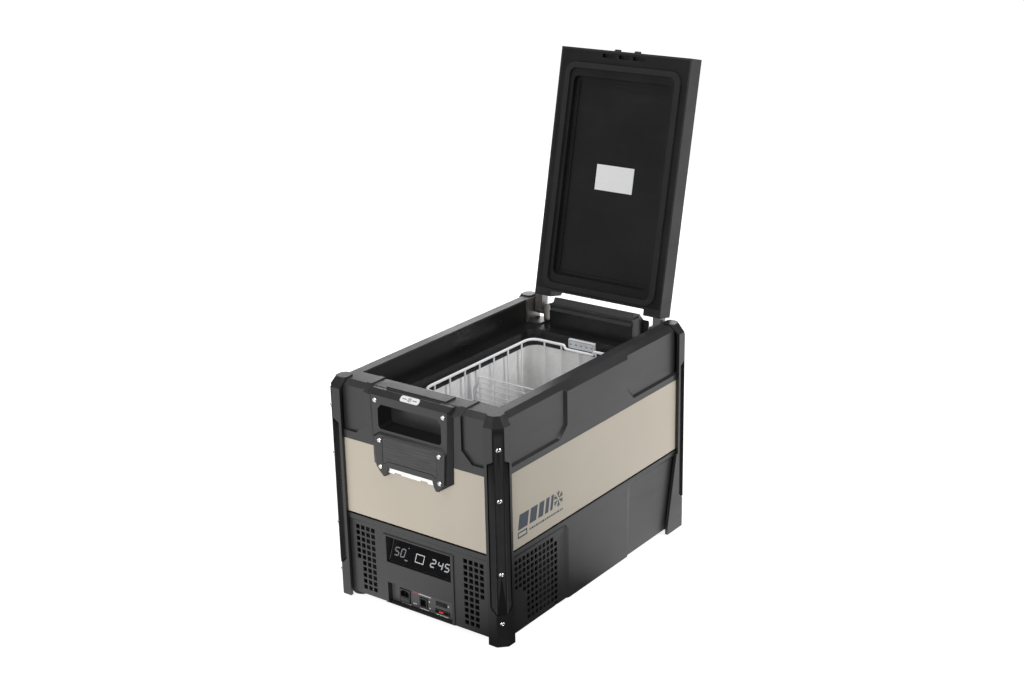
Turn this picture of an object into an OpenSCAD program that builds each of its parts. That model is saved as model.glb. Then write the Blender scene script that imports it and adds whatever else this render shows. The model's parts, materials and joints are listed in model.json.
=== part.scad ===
// Chest compressor fridge for a vehicle, with its lid standing open.
// X runs across the fridge, the control panel faces -Y, and Z points up from the feet.

/* [Body] */
// Width over the side panels
body_w = 403; // [401:0.5:405]
// Length over the front and rear panels
body_l = 645; // [643:0.5:647]
// Height of the rim that surrounds the lid well
rim_z = 461; // [460:0.5:462]
// Chamfer along the top edge of the rim
rim_chamfer = 15; // [13:0.5:16]
// Bottom of the lower panels
panel_z0 = 12; // [10:0.5:13]
// Top of the lower panels
lower_top = 184; // [182:0.5:185]
// Bottom of the metal band
band_z0 = 187; // [186:0.5:189]
// Top of the metal band
band_z1 = 343; // [340:0.5:343]
// Wall thickness of the moulded housings
wall = 4; // [3.5:0.5:4]

/* [Corner posts] */
// How far the posts stand out from the panels
post_proud = 6.5; // [6:0.5:7]
// Length of each leg of a post
post_leg = 36; // [34:1:38]
// Flat cut along the corner of a post
post_cut = 16; // [15:0.5:17]
// Depth of the guard zone below the ends of the post
guard_depth = 3.5; // [3:0.5:4]
// Width of the raised strip down each guard
strip_w = 18.6; // [17:0.2:19]
// Diameter of the screw heads
screw_d = 9.4; // [8:0.2:10]

/* [Well and tub] */
// Half width of the lid well
well_x = 165; // [164:0.5:166]
// Front wall of the lid well
well_front = -267; // [-269:0.5:-266]
// Level of the ledge that the gasket meets
ledge_z = 408; // [406:0.5:408]
// Half width of the tub mouth
tub_x = 133; // [132:0.5:134]
// Rear wall of the tub
tub_rear = 245; // [244:0.5:246]
// Front wall of the deep part of the tub
tub_step = -150; // [-151:0.5:-149]
// Front wall of the shallow part of the tub
tub_front = -222; // [-223:0.5:-221]
// Floor of the deep part
tub_floor = 62; // [60:1:64]
// Floor of the shallow part, above the compressor bay
shelf_floor = 218; // [216:1:220]

/* [Lid] */
// Width of the lid
lid_w = 318.5; // [316:0.5:319]
// Length of the lid
lid_l = 534.6; // [534:0.2:535]
// Opening angle from closed
lid_open = 102.4; // [100:0.1:102.4]
// Height of the closed lid's underside
lid_z0 = 414; // [413.5:0.5:414]

/* [Handles] */
// How far a handle stands out from its panel
handle_proud = 7.5; // [7:0.5:8]
// How much further its lower block stands out
block_proud = 4; // [3:0.5:4.5]
// Half width of a handle at the panel
handle_base = 100; // [99:0.5:101]
// Half width of a handle's front face
handle_face = 91; // [90:0.5:92]

/* [Controls and vents] */
// Distance between vent holes
vent_pitch = 12.9; // [12.4:0.1:13]
// Side of one vent hole
vent_hole = 9; // [8:0.2:9.4]
// Travel of the set button
button_travel = 1; // [0.6:0.1:1.2]

/* [Basket] */
// Height of the basket rail
rail_z = 395; // [393:0.5:396]
// Half width of the basket over its wires
basket_x = 127; // [125:0.5:128]
// Front of the basket
basket_front = -142; // [-143:0.5:-140]
// Rear of the basket
basket_rear = 232; // [230:0.5:234]

/* [Hidden] */
$fn = 48;
gap = 0.3;
shell_wall = 8;
recess = 5;
panel_recess = 3.5;
panel_x = body_w / 2;
panel_y = body_l / 2;
corner_cut = 12;
post_x = panel_x + post_proud;
post_y = panel_y + post_proud;
post_z0 = 3;
cap_z = rim_z + 2.5;
chamfer_z = rim_z - rim_chamfer;
facet_mid = [post_x - post_cut / 2, post_y - post_cut / 2];
screw_levels = [403, 302, 154, 51];
guard_z0 = 72;
guard_z1 = 378.5;
guard_half = 18.5;
strip_top = 439;
strip_proud = 1.4;
lid_x = lid_w / 2;
lid_rear = 272.6;
lid_front = lid_rear - lid_l;
lid_top = lid_z0 + 47.5;
lid_notch_x = 118;
lid_notch = 13;
paddle_z = lid_top - 5;
hinge_y = 305.4;
hinge_z = 432.9;
hinge_r = 4;
pocket_x = 105;
pocket_rear = panel_y - wall;
face_y = panel_y + handle_proud;
block_y = face_y + block_proud;
brow_z = 451;
brow_run = 12;
brow_tilt = atan2(brow_run, rim_z - brow_z);
bar_y = 330.5;
bar_t = 3.6;
bolt_x = 172;
bolt_y = 292;
bolt_r = 4.25;
bay_rear = -184;
fan_y = -246;
fan_z = 90;
comp_x = 70;
comp_y = -238;
comp_r = 48;
duct_x = -163;
vent_top = 157;
front_vent_x = 114;
side_vent_y = -273.5;
step_y = 105;
step_run = 7;
slot_half = 65;
bar_half = 71;
bar_rise = 2.5;
latch_x0 = -39;
latch_x1 = 22;
socket_y = -310;
basket_floor = tub_floor + 0.3;
wire = 3;
basket_cut = 26;
slope = 23;
button_u = -5;
button_v = 19.8;
button_w = 22;
button_h = 18;
corners = [[1, -1], [-1, -1], [1, 1], [-1, 1]];

// ---------- shared shapes ----------

module block(x0, x1, y0, y1, z0, z1) {
    translate([x0, y0, z0]) cube([x1 - x0, y1 - y0, z1 - z0]);
}

// Four points of a rectangle become eight, with each corner cut at 45 degrees
function cut_rect(hx, hy, c) = [
    [hx - c, -hy], [hx, c - hy], [hx, hy - c], [hx - c, hy],
    [c - hx, hy], [-hx, hy - c], [-hx, c - hy], [c - hx, -hy]];

module slab(hx, hy, c, z0, z1) {
    translate([0, 0, z0]) linear_extrude(z1 - z0) polygon(cut_rect(hx, hy, c));
}

// Plan rectangle with round corners
module round_rect(x0, x1, y0, y1, r) {
    translate([x0 + r, y0]) square([x1 - x0 - 2 * r, y1 - y0]);
    translate([x0, y0 + r]) square([x1 - x0, y1 - y0 - 2 * r]);
    for (x = [x0 + r, x1 - r], y = [y0 + r, y1 - r])
        translate([x, y]) circle(r);
}

module round_block(x0, x1, y0, y1, z0, z1, r) {
    translate([0, 0, z0]) linear_extrude(z1 - z0) round_rect(x0, x1, y0, y1, r);
}

// Extrusion along X of an outline drawn as [y, z]
module along_x(x0, x1) {
    translate([x0, 0, 0]) rotate([90, 0, 90]) linear_extrude(x1 - x0) children();
}

// Extrusion along -Y from y1 back to y0 of an outline drawn as [x, z]
module along_y(y0, y1) {
    translate([0, y1, 0]) rotate([90, 0, 0]) linear_extrude(y1 - y0) children();
}

module rod_x(x0, x1, y, z, r) {
    translate([x0, y, z]) rotate([0, 90, 0]) cylinder(h = x1 - x0, r = r);
}

module rod_y(x, y0, y1, z, r) {
    translate([x, y1, z]) rotate([90, 0, 0]) cylinder(h = y1 - y0, r = r);
}

// Places a shape that is drawn for the rear right corner at any corner
module at_corner(sx, sy) {
    mirror([sx < 0 ? 1 : 0, 0, 0]) mirror([0, sy < 0 ? 1 : 0, 0]) children();
}

module both_ends() {
    children();
    mirror([0, 1, 0]) children();
}

module both_sides() {
    children();
    mirror([1, 0, 0]) children();
}

// Takes a shape drawn in the closed position to the open position
module opened() {
    translate([0, hinge_y, hinge_z]) rotate([-lid_open, 0, 0])
        translate([0, -hinge_y, -hinge_z]) children();
}

// ---------- base ----------

module base_tray() color([0.13, 0.13, 0.13])
difference() {
    union() {
        slab(panel_x - 6.3, panel_y - 8, corner_cut, 10, 14);
        for (x = [-bolt_x, bolt_x], y = [-bolt_y, bolt_y])
            translate([x, y, 14]) cylinder(h = 6, r = 9);
        block(-120, 120, bay_rear - 6, bay_rear - 2, 14, 30);
    }
    for (x = [-bolt_x, bolt_x], y = [-bolt_y, bolt_y])
        translate([x, y, 0]) cylinder(h = 30, r = bolt_r);
}

module foot_pads() color([0.05, 0.05, 0.05])
for (x = [-bolt_x, bolt_x], y = [-bolt_y, bolt_y])
    translate([x, y, 0]) difference() {
        union() {
            cylinder(h = 3, r1 = 20, r2 = 22);
            translate([0, 0, 3]) cylinder(h = 7, r = 22);
        }
        translate([0, 0, -1]) cylinder(h = 12, r = bolt_r);
    }

// ---------- lower panels ----------

// One vent hole through a front panel
module vent_y(x, z) {
    block(x - vent_hole / 2, x + vent_hole / 2, -panel_y - 1, -panel_y + 12,
        z - vent_hole / 2, z + vent_hole / 2);
}

function vent_level(row) = vent_top - row * vent_pitch;

module lower_front_fascia() color([0.31, 0.31, 0.32])
difference() {
    union() {
        block(-panel_x + corner_cut, panel_x - corner_cut, -panel_y + 3, -panel_y + 7, panel_z0, 171);
        along_x(-panel_x + corner_cut, panel_x - corner_cut)
            polygon([[-panel_y, 173.5], [-panel_y, lower_top], [-panel_y + 8, lower_top],
                [-panel_y + 8, 167], [-panel_y + 3, 167], [-panel_y + 3, 170.5]]);
        along_x(-86, 86)
            polygon([[-panel_y + 1, panel_z0], [-panel_y + 1, 160], [-panel_y + 3, 162],
                [-panel_y + 7, 162], [-panel_y + 7, panel_z0]]);
        // Hood and cheeks around the display
        block(-83, 83, -panel_y + 7, -286, 157, 161);
        both_sides() block(79.5, 83, -panel_y + 7, -286, 100, 157);
        // Cheeks around the sockets
        both_sides() block(79.5, 83, -panel_y + 7, socket_y + 2, 14, 59);
        block(-83, 83, -panel_y + 7, socket_y + 2, 57.5, 60.5);
    }
    block(-79.5, 79.5, -panel_y - 1, -panel_y + 9, 102, 157);
    block(-79.5, 79.5, -panel_y - 1, -panel_y + 9, 14, 57.5);
    both_sides() for (col = [0 : 3], row = [0 : (col == 3 ? 5 : 10)])
        vent_y(front_vent_x + col * vent_pitch, vent_level(row));
}

function side_rows(col) = col < 2 ? 5 : col == 2 ? 6 : 11;

// Sloping step from the middle of a side face down to one end, drawn for the rear end, from the
// outlines of its floor and of its mouth as [y, z]
module side_step(depth, floor_line, mouth_line) {
    hull() {
        translate([panel_x - depth, 0, 0]) rotate([90, 0, 90]) linear_extrude(0.1) polygon(floor_line);
        translate([panel_x, 0, 0]) rotate([90, 0, 90]) linear_extrude(1) polygon(mouth_line);
    }
}

module side_panel_recesses() {
    far = panel_y + 8;
    low = panel_z0 - 1;
    both_ends() side_step(panel_recess,
        [[far, low], [step_y + step_run, low], [step_y + step_run, 160], [122, 170], [far, 170]],
        [[far, low], [step_y, low], [step_y, 163], [117, 175], [far, 175]]);
}

module side_panel() {
    difference() {
        block(panel_x - 6, panel_x, -panel_y + corner_cut, panel_y - corner_cut, panel_z0,
            lower_top);
        side_panel_recesses();
        for (col = [0 : 10])
            for (row = [0 : side_rows(col) - 1])
                translate([panel_x - 10, side_vent_y + col * vent_pitch, 0])
                    block(0, 12, -vent_hole / 2, vent_hole / 2,
                        vent_level(row + (col == 10 ? 1 : 0)) - vent_hole / 2,
                        vent_level(row + (col == 10 ? 1 : 0)) + vent_hole / 2);
    }
}

module lower_right_panel() color([0.31, 0.31, 0.32]) side_panel();

module lower_left_panel() color([0.31, 0.31, 0.32]) mirror([1, 0, 0]) side_panel();

module lower_rear_panel() color([0.31, 0.31, 0.32])
difference() {
    block(-panel_x + corner_cut, panel_x - corner_cut, panel_y - 6, panel_y, panel_z0, lower_top);
    along_y(panel_y - panel_recess, panel_y + 1) both_sides()
        polygon([[200, panel_z0 - 1], [110, panel_z0 - 1], [110, 164.5], [116.5, 171], [200, 171]]);
}

// ---------- metal band ----------

module end_band() {
    block(-panel_x + corner_cut, panel_x - corner_cut, -panel_y + 1, -panel_y + 2.5,
        band_z0, band_z1);
}

module band_front() color([0.78, 0.74, 0.68]) end_band();

module band_rear() color([0.78, 0.74, 0.68]) mirror([0, 1, 0]) end_band();

module side_band() {
    block(panel_x - 2.5, panel_x - 1, -panel_y + corner_cut, panel_y - corner_cut, band_z0, band_z1);
}

module band_right() color([0.72, 0.68, 0.6]) side_band();

module band_left() color([0.72, 0.68, 0.6]) mirror([1, 0, 0]) side_band();

// ---------- upper housing ----------

// Outer envelope of the upper housing and its rim
module upper_envelope() {
    hull() {
        slab(panel_x, panel_y, corner_cut, band_z1, chamfer_z);
        slab(panel_x - rim_chamfer, panel_y - rim_chamfer, corner_cut - 4, chamfer_z, rim_z);
    }
}

// Space under the rim, inside the walls of the upper housing
module shell_cavity() {
    hull() {
        slab(panel_x - shell_wall, panel_y - shell_wall, corner_cut, band_z1 - 1,
            chamfer_z - shell_wall);
        slab(panel_x - shell_wall - rim_chamfer, panel_y - shell_wall - rim_chamfer, 8,
            chamfer_z, rim_z - wall);
    }
}

// Recess in each corner of the end faces
module end_recess() {
    along_y(-panel_y - 1, -panel_y + recess)
        polygon([[116.5, 500], [116.5, 383], [140, 359.5], [200, 359.5], [200, 500]]);
}

// Recesses at both ends of the side faces
module side_recesses() {
    far = panel_y + 8;
    both_ends() side_step(recess,
        [[far, 500], [step_y + step_run, 500], [step_y + step_run, 381.5], [133.5, 360], [far, 360]],
        [[far, 500], [step_y, 500], [step_y, 379], [128, 356], [far, 356]]);
}

// Room for a handle's grip cup
module cup_room() {
    block(-82, 82, -panel_y - 1, -286, 384, 446);
}

module upper_shell() color([0.3, 0.3, 0.31])
difference() {
    union() {
        difference() {
            upper_envelope();
            shell_cavity();
            block(-well_x, well_x, well_front, 272, 350, 500);
            both_sides() block(pocket_x, well_x, 271, pocket_rear, 350, 500);
        }
        // Raised flap between the hinge pockets
        along_x(3.2 - pocket_x, pocket_x - 3.2)
            polygon([[272.2, 447], [288, 472], [303, 467], [305, 462], [305, 457], [279, 457],
                [275, 447]]);
        // Raised ribs over the rim beside the front handle
        both_sides() along_x(106, 119.5)
            polygon([[-panel_y, 440], [-panel_y, chamfer_z + 2], [rim_chamfer - panel_y, rim_z + 2],
                [well_front - 2, rim_z + 2], [well_front - 0.5, rim_z], [well_front - 0.5, 458],
                [-305, 458], [-318.5, 440]]);
        // Raised bar on the front rim
        along_x(-bar_half, bar_half)
            polygon([[-307.4, rim_z - 2], [-306.4, rim_z + bar_rise], [-278, rim_z + bar_rise],
                [-275.5, rim_z - 2]]);
    }
    block(-107, 107, -275, -260, rim_z - 2, rim_z + 5);
    both_ends() {
        cup_room();
        both_sides() end_recess();
    }
    both_sides() side_recesses();
}

// ---------- well, tub and insulation ----------

module tub_plan(grow) {
    round_rect(-tub_x - grow, tub_x + grow, tub_step - grow, tub_rear + grow, 28 + grow);
}

module mouth_plan(grow) {
    round_rect(-tub_x - grow, tub_x + grow, tub_front - grow, tub_rear + grow, 28 + grow);
}

module well_liner() color([0.06, 0.06, 0.06]) {
    // Side and front walls, and the walls of the hinge pockets
    difference() {
        block(-well_x - 3, well_x + 3, well_front - 3, 275, ledge_z - wall, rim_z - wall);
        block(-well_x, well_x, well_front, 272, ledge_z, rim_z);
        both_sides() block(pocket_x, well_x, 270, 276, ledge_z, rim_z);
        translate([0, 0, ledge_z - wall - 1]) linear_extrude(wall + 2) mouth_plan(0);
        block(-pocket_x, pocket_x, 270, 276, 447, rim_z);
    }
    intersection() {
        shell_cavity();
        both_sides() {
            block(pocket_x - 3, pocket_x, 275, pocket_rear, ledge_z - wall, rim_z - wall);
            block(well_x, well_x + 3, 275, pocket_rear, ledge_z - wall, rim_z - wall);
            block(pocket_x, well_x, 275, pocket_rear, ledge_z - wall, ledge_z);
        }
    }
    // Collar between the ledge and the tub
    translate([0, 0, 380]) linear_extrude(ledge_z - 380.5) difference() {
        mouth_plan(3);
        mouth_plan(0);
    }
}

module tub() color([0.87, 0.87, 0.86])
difference() {
    union() {
        translate([0, 0, tub_floor - 2]) linear_extrude(380 - tub_floor + 2) tub_plan(2);
        translate([0, 0, shelf_floor - 2]) linear_extrude(380 - shelf_floor + 2) mouth_plan(2);
    }
    translate([0, 0, tub_floor]) linear_extrude(400) tub_plan(0);
    translate([0, 0, shelf_floor]) linear_extrude(400) mouth_plan(0);
}

// Cooling sheet wrapped round the deep part of the tub
module evaporator() color([0.75, 0.76, 0.78])
difference() {
    translate([0, 0, 90]) linear_extrude(110) tub_plan(5);
    translate([0, 0, 89]) linear_extrude(112) tub_plan(2);
}

module insulation_foam() color([0.9, 0.85, 0.6])
difference() {
    union() {
        block(-186, 186, bay_rear, 312, 14, 190);
        slab(panel_x - shell_wall, panel_y - 10, corner_cut, 205, ledge_z - wall);
        block(-186, 186, bay_rear, 312, 189, 206);
    }
    translate([0, 0, tub_floor - 2]) linear_extrude(400) tub_plan(2);
    translate([0, 0, shelf_floor - 2]) linear_extrude(400) mouth_plan(2);
    translate([0, 0, 380]) linear_extrude(40) mouth_plan(3);
    translate([0, 0, 90]) linear_extrude(110) tub_plan(5);
    both_ends() block(-84, 84, -panel_y, -286, 384, 446);
    both_sides() translate([bolt_x, bolt_y, 10]) cylinder(h = 40, r = 12);
}

// ---------- corner posts and guards ----------

// Plan of a post for the rear right corner, drawn back by an inset
module post_plan(inset) {
    px = post_x - inset;
    py = post_y - inset;
    c = post_cut - 0.586 * inset;
    polygon([[post_x - post_leg, py], [px - c, py], [px, py - c], [px, post_y - post_leg],
        [panel_x, post_y - post_leg], [panel_x, panel_y - corner_cut],
        [panel_x - corner_cut, panel_y], [post_x - post_leg, panel_y]]);
}

module post_band(z0, z1, inset) {
    translate([0, 0, z0]) linear_extrude(z1 - z0) post_plan(inset);
}

module post_cap() {
    difference() {
        hull() {
            translate([0, 0, 440]) linear_extrude(4)
                polygon([[post_x - post_leg, post_y], [post_x - post_cut, post_y],
                    [post_x, post_y - post_cut], [post_x, post_y - post_leg],
                    [post_x - post_leg, post_y - post_leg]]);
            translate([0, 0, cap_z - 1]) linear_extrude(1)
                polygon([[173, 317], [187, 317], [195.5, 308.5], [195.5, 294], [188, 287],
                    [174, 287], [168, 293], [168, 311]]);
        }
        upper_envelope();
        block(0, 400, 0, 400, 400, 441);
    }
}

module screw_axis(z) {
    translate([facet_mid[0], facet_mid[1], z]) rotate([0, 0, 45]) rotate([0, 90, 0]) children();
}

module post() {
    difference() {
        union() {
            post_band(post_z0, 441, 0);
            post_cap();
        }
        // Seat of the wide guard, with a shadow gap round it
        intersection() {
            translate([0, 0, guard_z0 - 12]) linear_extrude(guard_z1 - guard_z0 + 24) difference() {
                translate([1, 1]) post_plan(-0.5);
                post_plan(guard_depth);
            }
            seen_from_corner(30) guard_outline(2.3);
        }
        for (z = screw_levels)
            screw_axis(z) translate([0, 0, -7]) cylinder(h = 20, r = 2.5);
    }
}

module post_front_right() color([0.33, 0.33, 0.34]) at_corner(1, -1) post();

module post_front_left() color([0.33, 0.33, 0.34]) at_corner(-1, -1) post();

// The rear posts spread out towards the front below the band
module rear_post() {
    post();
    translate([panel_x, 0, 0]) rotate([90, 0, 90]) linear_extrude(post_proud)
        polygon([[296, 178], [287.5, 178], [254.5, 20], [254.5, post_z0], [296, post_z0]]);
}

module post_rear_right() color([0.33, 0.33, 0.34]) at_corner(1, 1) rear_post();

module post_rear_left() color([0.33, 0.33, 0.34]) at_corner(-1, 1) rear_post();

// Vertical prism seen along the corner's diagonal, from an outline of [across, height]
module seen_from_corner(reach) {
    translate([facet_mid[0], facet_mid[1], 0]) rotate([0, 0, 45]) translate([-reach, 0, 0])
        rotate([90, 0, 90]) linear_extrude(2 * reach) children();
}

// Outline of the wide guard, seen square on to the corner
module guard_outline(grow) {
    w = guard_half + grow;
    tip = 10.5 + grow / 2;
    z0 = guard_z0 - grow;
    z1 = guard_z1 + grow;
    polygon([[-w, z0 + 12.5], [-w, z1 - 8], [-tip, z1], [tip, z1], [w, z1 - 8], [w, z0 + 12.5],
        [tip, z0], [-tip, z0]]);
}

module strip_outline(z0, z1) {
    polygon([[-strip_w / 2, z0], [-strip_w / 2, z1], [strip_w / 2, z1], [strip_w / 2, z0]]);
}

module guard() {
    difference() {
        union() {
            // Wide guard in its recess
            intersection() {
                translate([0, 0, guard_z0 - 6]) linear_extrude(guard_z1 - guard_z0 + 12) difference() {
                    post_plan(0.4);
                    post_plan(guard_depth);
                }
                seen_from_corner(30) guard_outline(0);
            }
            // Raised strip from the guard's foot up to the cap
            intersection() {
                translate([0, 0, guard_z0]) linear_extrude(strip_top - guard_z0) difference() {
                    translate([1, 1]) post_plan(0);
                    post_plan(0);
                }
                seen_from_corner(30) strip_outline(guard_z0, strip_top);
            }
            intersection() {
                translate([0, 0, guard_z0]) linear_extrude(guard_z1 - guard_z0) difference() {
                    post_plan(0);
                    post_plan(0.4);
                }
                seen_from_corner(30) strip_outline(guard_z0, guard_z1);
            }
        }
        for (z = screw_levels)
            screw_axis(z) translate([0, 0, -7]) cylinder(h = 20, r = 2.6);
    }
}

// How far a guard screw's seat stands out from the post: the lowest screw has no guard under it
function seat_rise(z) = z > guard_z0 ? strip_proud + 0.02 : 0.02;

module guard_front_right() color([0.05, 0.05, 0.05]) at_corner(1, -1) guard();

module guard_front_left() color([0.05, 0.05, 0.05]) at_corner(-1, -1) guard();

module guard_rear_right() color([0.05, 0.05, 0.05]) at_corner(1, 1) guard();

module guard_rear_left() color([0.05, 0.05, 0.05]) at_corner(-1, 1) guard();

module button_screw(d, shank) {
    difference() {
        union() {
            cylinder(h = 1, r = d / 2);
            translate([0, 0, 1]) cylinder(h = 1.2, r1 = d / 2, r2 = d / 2 - 1.6);
            translate([0, 0, -shank]) cylinder(h = shank, r = 2.4);
        }
        translate([0, 0, 1]) cylinder(h = 2, r = 1.9, $fn = 6);
    }
}

module guard_screws() color([0.8, 0.8, 0.8])
for (c = corners, z = screw_levels)
    at_corner(c[0], c[1]) screw_axis(z) translate([0, 0, seat_rise(z)]) button_screw(screw_d, 5.5);

// ---------- handles ----------

module grip_outline(grow) {
    x = 76 + grow;
    z0 = 385.5 - grow;
    z1 = 435.5 + grow;
    polygon([[-x + 5, z0], [x - 5, z0], [x, z0 + 5], [x, z1 - 10], [x - 8, z1], [8 - x, z1],
        [-x, z1 - 10], [-x, z0 + 5]]);
}

// Place of each handle screw, as [x, z, y of the face under it]
screw_spots = [[82, 442, face_y], [72, 364, block_y], [72, 310, block_y]];

module handle_body() {
    difference() {
        union() {
            // Frame with bevelled sides
            hull() {
                along_y(-panel_y - 1, -panel_y) polygon([[-handle_base, 446], [-96, 310],
                    [-67, 291], [67, 291], [96, 310], [handle_base, 446]]);
                along_y(-face_y, -face_y + 1) polygon([[-handle_face, 452], [-88, 366],
                    [-84, 309], [-67, 292], [67, 292], [84, 309], [88, 366], [handle_face, 452]]);
            }
            // Lower block
            hull() {
                along_y(-face_y - 0.5, -face_y) polygon([[-73, 380], [73, 380], [88, 370.5],
                    [84, 308], [67, 290.5], [-67, 290.5], [-84, 308], [-88, 370.5]]);
                along_y(-block_y, -block_y + 0.5) polygon([[-72, 376], [72, 376], [85.5, 368],
                    [82, 309], [66, 291.5], [-66, 291.5], [-82, 309], [-85.5, 368]]);
            }
            // Sloping brow that runs up to the rim
            hull() {
                along_y(-face_y, -face_y + 1) polygon([[-handle_face, 440],
                    [-handle_face, brow_z], [handle_face, brow_z], [handle_face, 440]]);
                block(-96, 96, -face_y + brow_run, -311, 440, rim_z);
            }
            // Grip cup
            along_y(-panel_y, -288) grip_outline(3);
        }
        along_y(-face_y - 1, -291) grip_outline(0);
        // Slot between the brow and the rim's raised bar
        block(-slot_half, slot_half, -316.6, -300, rim_z - 5, rim_z + 3);
        // Notch between the feet
        along_y(-block_y - 1, -panel_y + 3) polygon([[-63, 289], [-57, 300], [-54, 311.5],
            [54, 311.5], [57, 300], [63, 289]]);
        // Seat of the front plate
        along_y(-block_y - 1, -block_y + 1.8) plate_outline(0);
        // Everything inside the rim stays clear of the shell
        difference() {
            upper_envelope();
            cup_room();
        }
        for (s = screw_spots, sx = [-1, 1])
            rod_y(sx * s[0], -s[2] - 1, -s[2] + 9, s[1], 2.5);
        // Slots that take the ends of the tie bar
        both_sides() block(50, 64.2, -bar_y - 0.2, bar_t - bar_y + 0.2, 300.3, 311.7);
    }
}

module plate_outline(inset) {
    offset(delta = -inset)
        polygon([[-66, 317.5], [-61, 317.5], [-55, 323], [55, 323], [61, 317.5], [66, 317.5],
            [66, 368], [59, 374], [-59, 374], [-66, 368]]);
}

module front_handle() color([0.31, 0.31, 0.32]) handle_body();

module rear_handle() color([0.31, 0.31, 0.32]) mirror([0, 1, 0]) handle_body();

module handle_plates() color([0.33, 0.33, 0.34])
both_ends() along_y(-block_y + 0.3, -block_y + 1.8) plate_outline(0.7);

module tie_bars() color([0.85, 0.85, 0.85])
both_ends() difference() {
    block(-64, 64, -bar_y, bar_t - bar_y, 300.5, 311.5);
    both_sides() block(24, 40, -bar_y - 1, bar_t - bar_y + 1, 300, 303.5);
}

module handle_screws() color([0.8, 0.8, 0.8])
both_ends() for (s = screw_spots, sx = [-1, 1])
    translate([sx * s[0], -s[2], s[1]]) rotate([90, 0, 0]) button_screw(screw_d, 6.5);

// Blank plate on the brow of the front handle
module badge() color([0.6, 0.1, 0.1])
translate([0, -face_y + brow_run / 2, (brow_z + rim_z) / 2]) rotate([-brow_tilt, 0, 0])
    along_y(-1.65, -0.05) polygon([[-22, -4], [-19, -6.5], [19, -6.5], [22, -4], [22, 4], [19, 6.5],
        [-19, 6.5], [-22, 4]]);

// ---------- machinery ----------

module compressor() color([0.08, 0.08, 0.09])
translate([comp_x, comp_y, 0]) {
    translate([0, 0, 34]) cylinder(h = 90, r = comp_r);
    translate([0, 0, 124]) cylinder(h = 20, r1 = comp_r, r2 = 26);
    translate([0, 0, 28]) linear_extrude(6) round_rect(-56, 56, -44, 44, 8);
    translate([-30, -46, 60]) cube([40, 6, 34]);
}

module compressor_feet() color([0.1, 0.1, 0.1])
for (x = [comp_x - comp_r, comp_x + comp_r], y = [comp_y - 34, comp_y + 34])
    translate([x, y, 14]) cylinder(h = 14, r = 9);

module condenser() color([0.45, 0.46, 0.48]) {
    half = 54;
    fin_pitch = 14;
    for (y = [fan_y - half, fan_y + half])
        block(duct_x - 13, duct_x + 13, y - 2, y + 2, 20, 176);
    for (i = [0 : 9])
        block(duct_x - 11, duct_x + 11, fan_y - half + 2, fan_y + half - 2, 30 + i * fin_pitch,
            33 + i * fin_pitch);
}

module fan_shroud() color([0.1, 0.1, 0.1]) {
    difference() {
        block(-146, -121, -302, -190, 34, 146);
        rod_x(-147, -120, fan_y, fan_z, 52);
    }
    // Spider that carries the fan's axle
    block(-123.5, -121, -299, -193, fan_z - 4, fan_z + 4);
    rod_x(-135, -122, fan_y, fan_z, 2);
}

module fan_rotor() color([0.14, 0.14, 0.15])
translate([-133.5, fan_y, fan_z]) rotate([0, 90, 0]) difference() {
    union() {
        translate([0, 0, -10]) cylinder(h = 19, r = 18);
        for (i = [0 : 6])
            rotate([0, 0, i * 360 / 7]) translate([16, -8, -1]) rotate([28, 0, 0])
                cube([32, 16, 1.8]);
    }
    translate([0, 0, -2]) cylinder(h = 20, r = 2.05);
}

module control_board() color([0.05, 0.3, 0.15]) {
    block(-76, 8, -280, -278.4, 62, 98);
    block(-66, -40, -290, -280, 68, 88);
    block(-30, -14, -288, -280, 66, 84);
    block(-76, 8, -286, -278.4, 58, 62);
}

module refrigerant_pipes() color([0.72, 0.45, 0.2]) {
    pipe = 3;
    high = 180;
    low = 170;
    supply_x = comp_x - 10;
    return_x = comp_x + 12;
    translate([supply_x, comp_y, 144]) cylinder(h = high - 144, r = pipe);
    translate([return_x, comp_y, 144]) cylinder(h = low - 144, r = pipe);
    rod_x(duct_x, supply_x, comp_y, high, pipe);
    rod_y(return_x, comp_y, bay_rear, low, pipe);
    translate([supply_x, comp_y, high]) sphere(pipe);
    translate([return_x, comp_y, low]) sphere(pipe);
    translate([duct_x, comp_y, 176]) cylinder(h = 4, r = pipe);
    translate([duct_x, comp_y, high]) sphere(pipe);
    rod_x(-60, -10, comp_y, high, 3 * pipe);
}

// ---------- control panel ----------

// Frame of the sloping display, with its origin at the pane's lower edge
module on_display() {
    translate([0, -316, 104]) rotate([-slope, 0, 0]) children();
}

// Block of the button's outline, grown all round, between two depths behind the pane
module button_block(grow, y0, y1) {
    block(button_u - button_w / 2 - grow, button_u + button_w / 2 + grow, y0, y1,
        button_v - button_h / 2 - grow, button_v + button_h / 2 + grow);
}

module display_module() color([0.03, 0.03, 0.03])
difference() {
    along_x(-79, 79)
        polygon([[-316, 103], [-294.35, 155], [-287, 155], [-287, 103]]);
    on_display() block(-77, 77, -1, 1.2, 1.5, 53);
    on_display() button_block(2, 0, 6);
}

module display_window() color([0.02, 0.02, 0.02])
on_display() difference() {
    block(-76.7, 76.7, -0.4, 1.1, 1.8, 52.7);
    button_block(gap, -2, 3);
}

module set_button() color([0.06, 0.06, 0.06])
on_display() {
    button_block(0, -1.6, 2.4);
    button_block(1.2, 1.6, 2.8);
}

module socket_panel() color([0.3, 0.3, 0.31])
difference() {
    block(-79.3, 79.3, socket_y, socket_y + 3, 14.2, 57.3);
    block(-59.5, -32.5, socket_y - 1, socket_y + 4, 16.5, 46.5);
    block(-9.5, 10.5, socket_y - 1, socket_y + 4, 20, 41);
    block(28, 65, socket_y - 1, socket_y + 4, 19, 28);
    block(31, 58, socket_y - 1, socket_y + 4, 35, 44);
}

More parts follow.
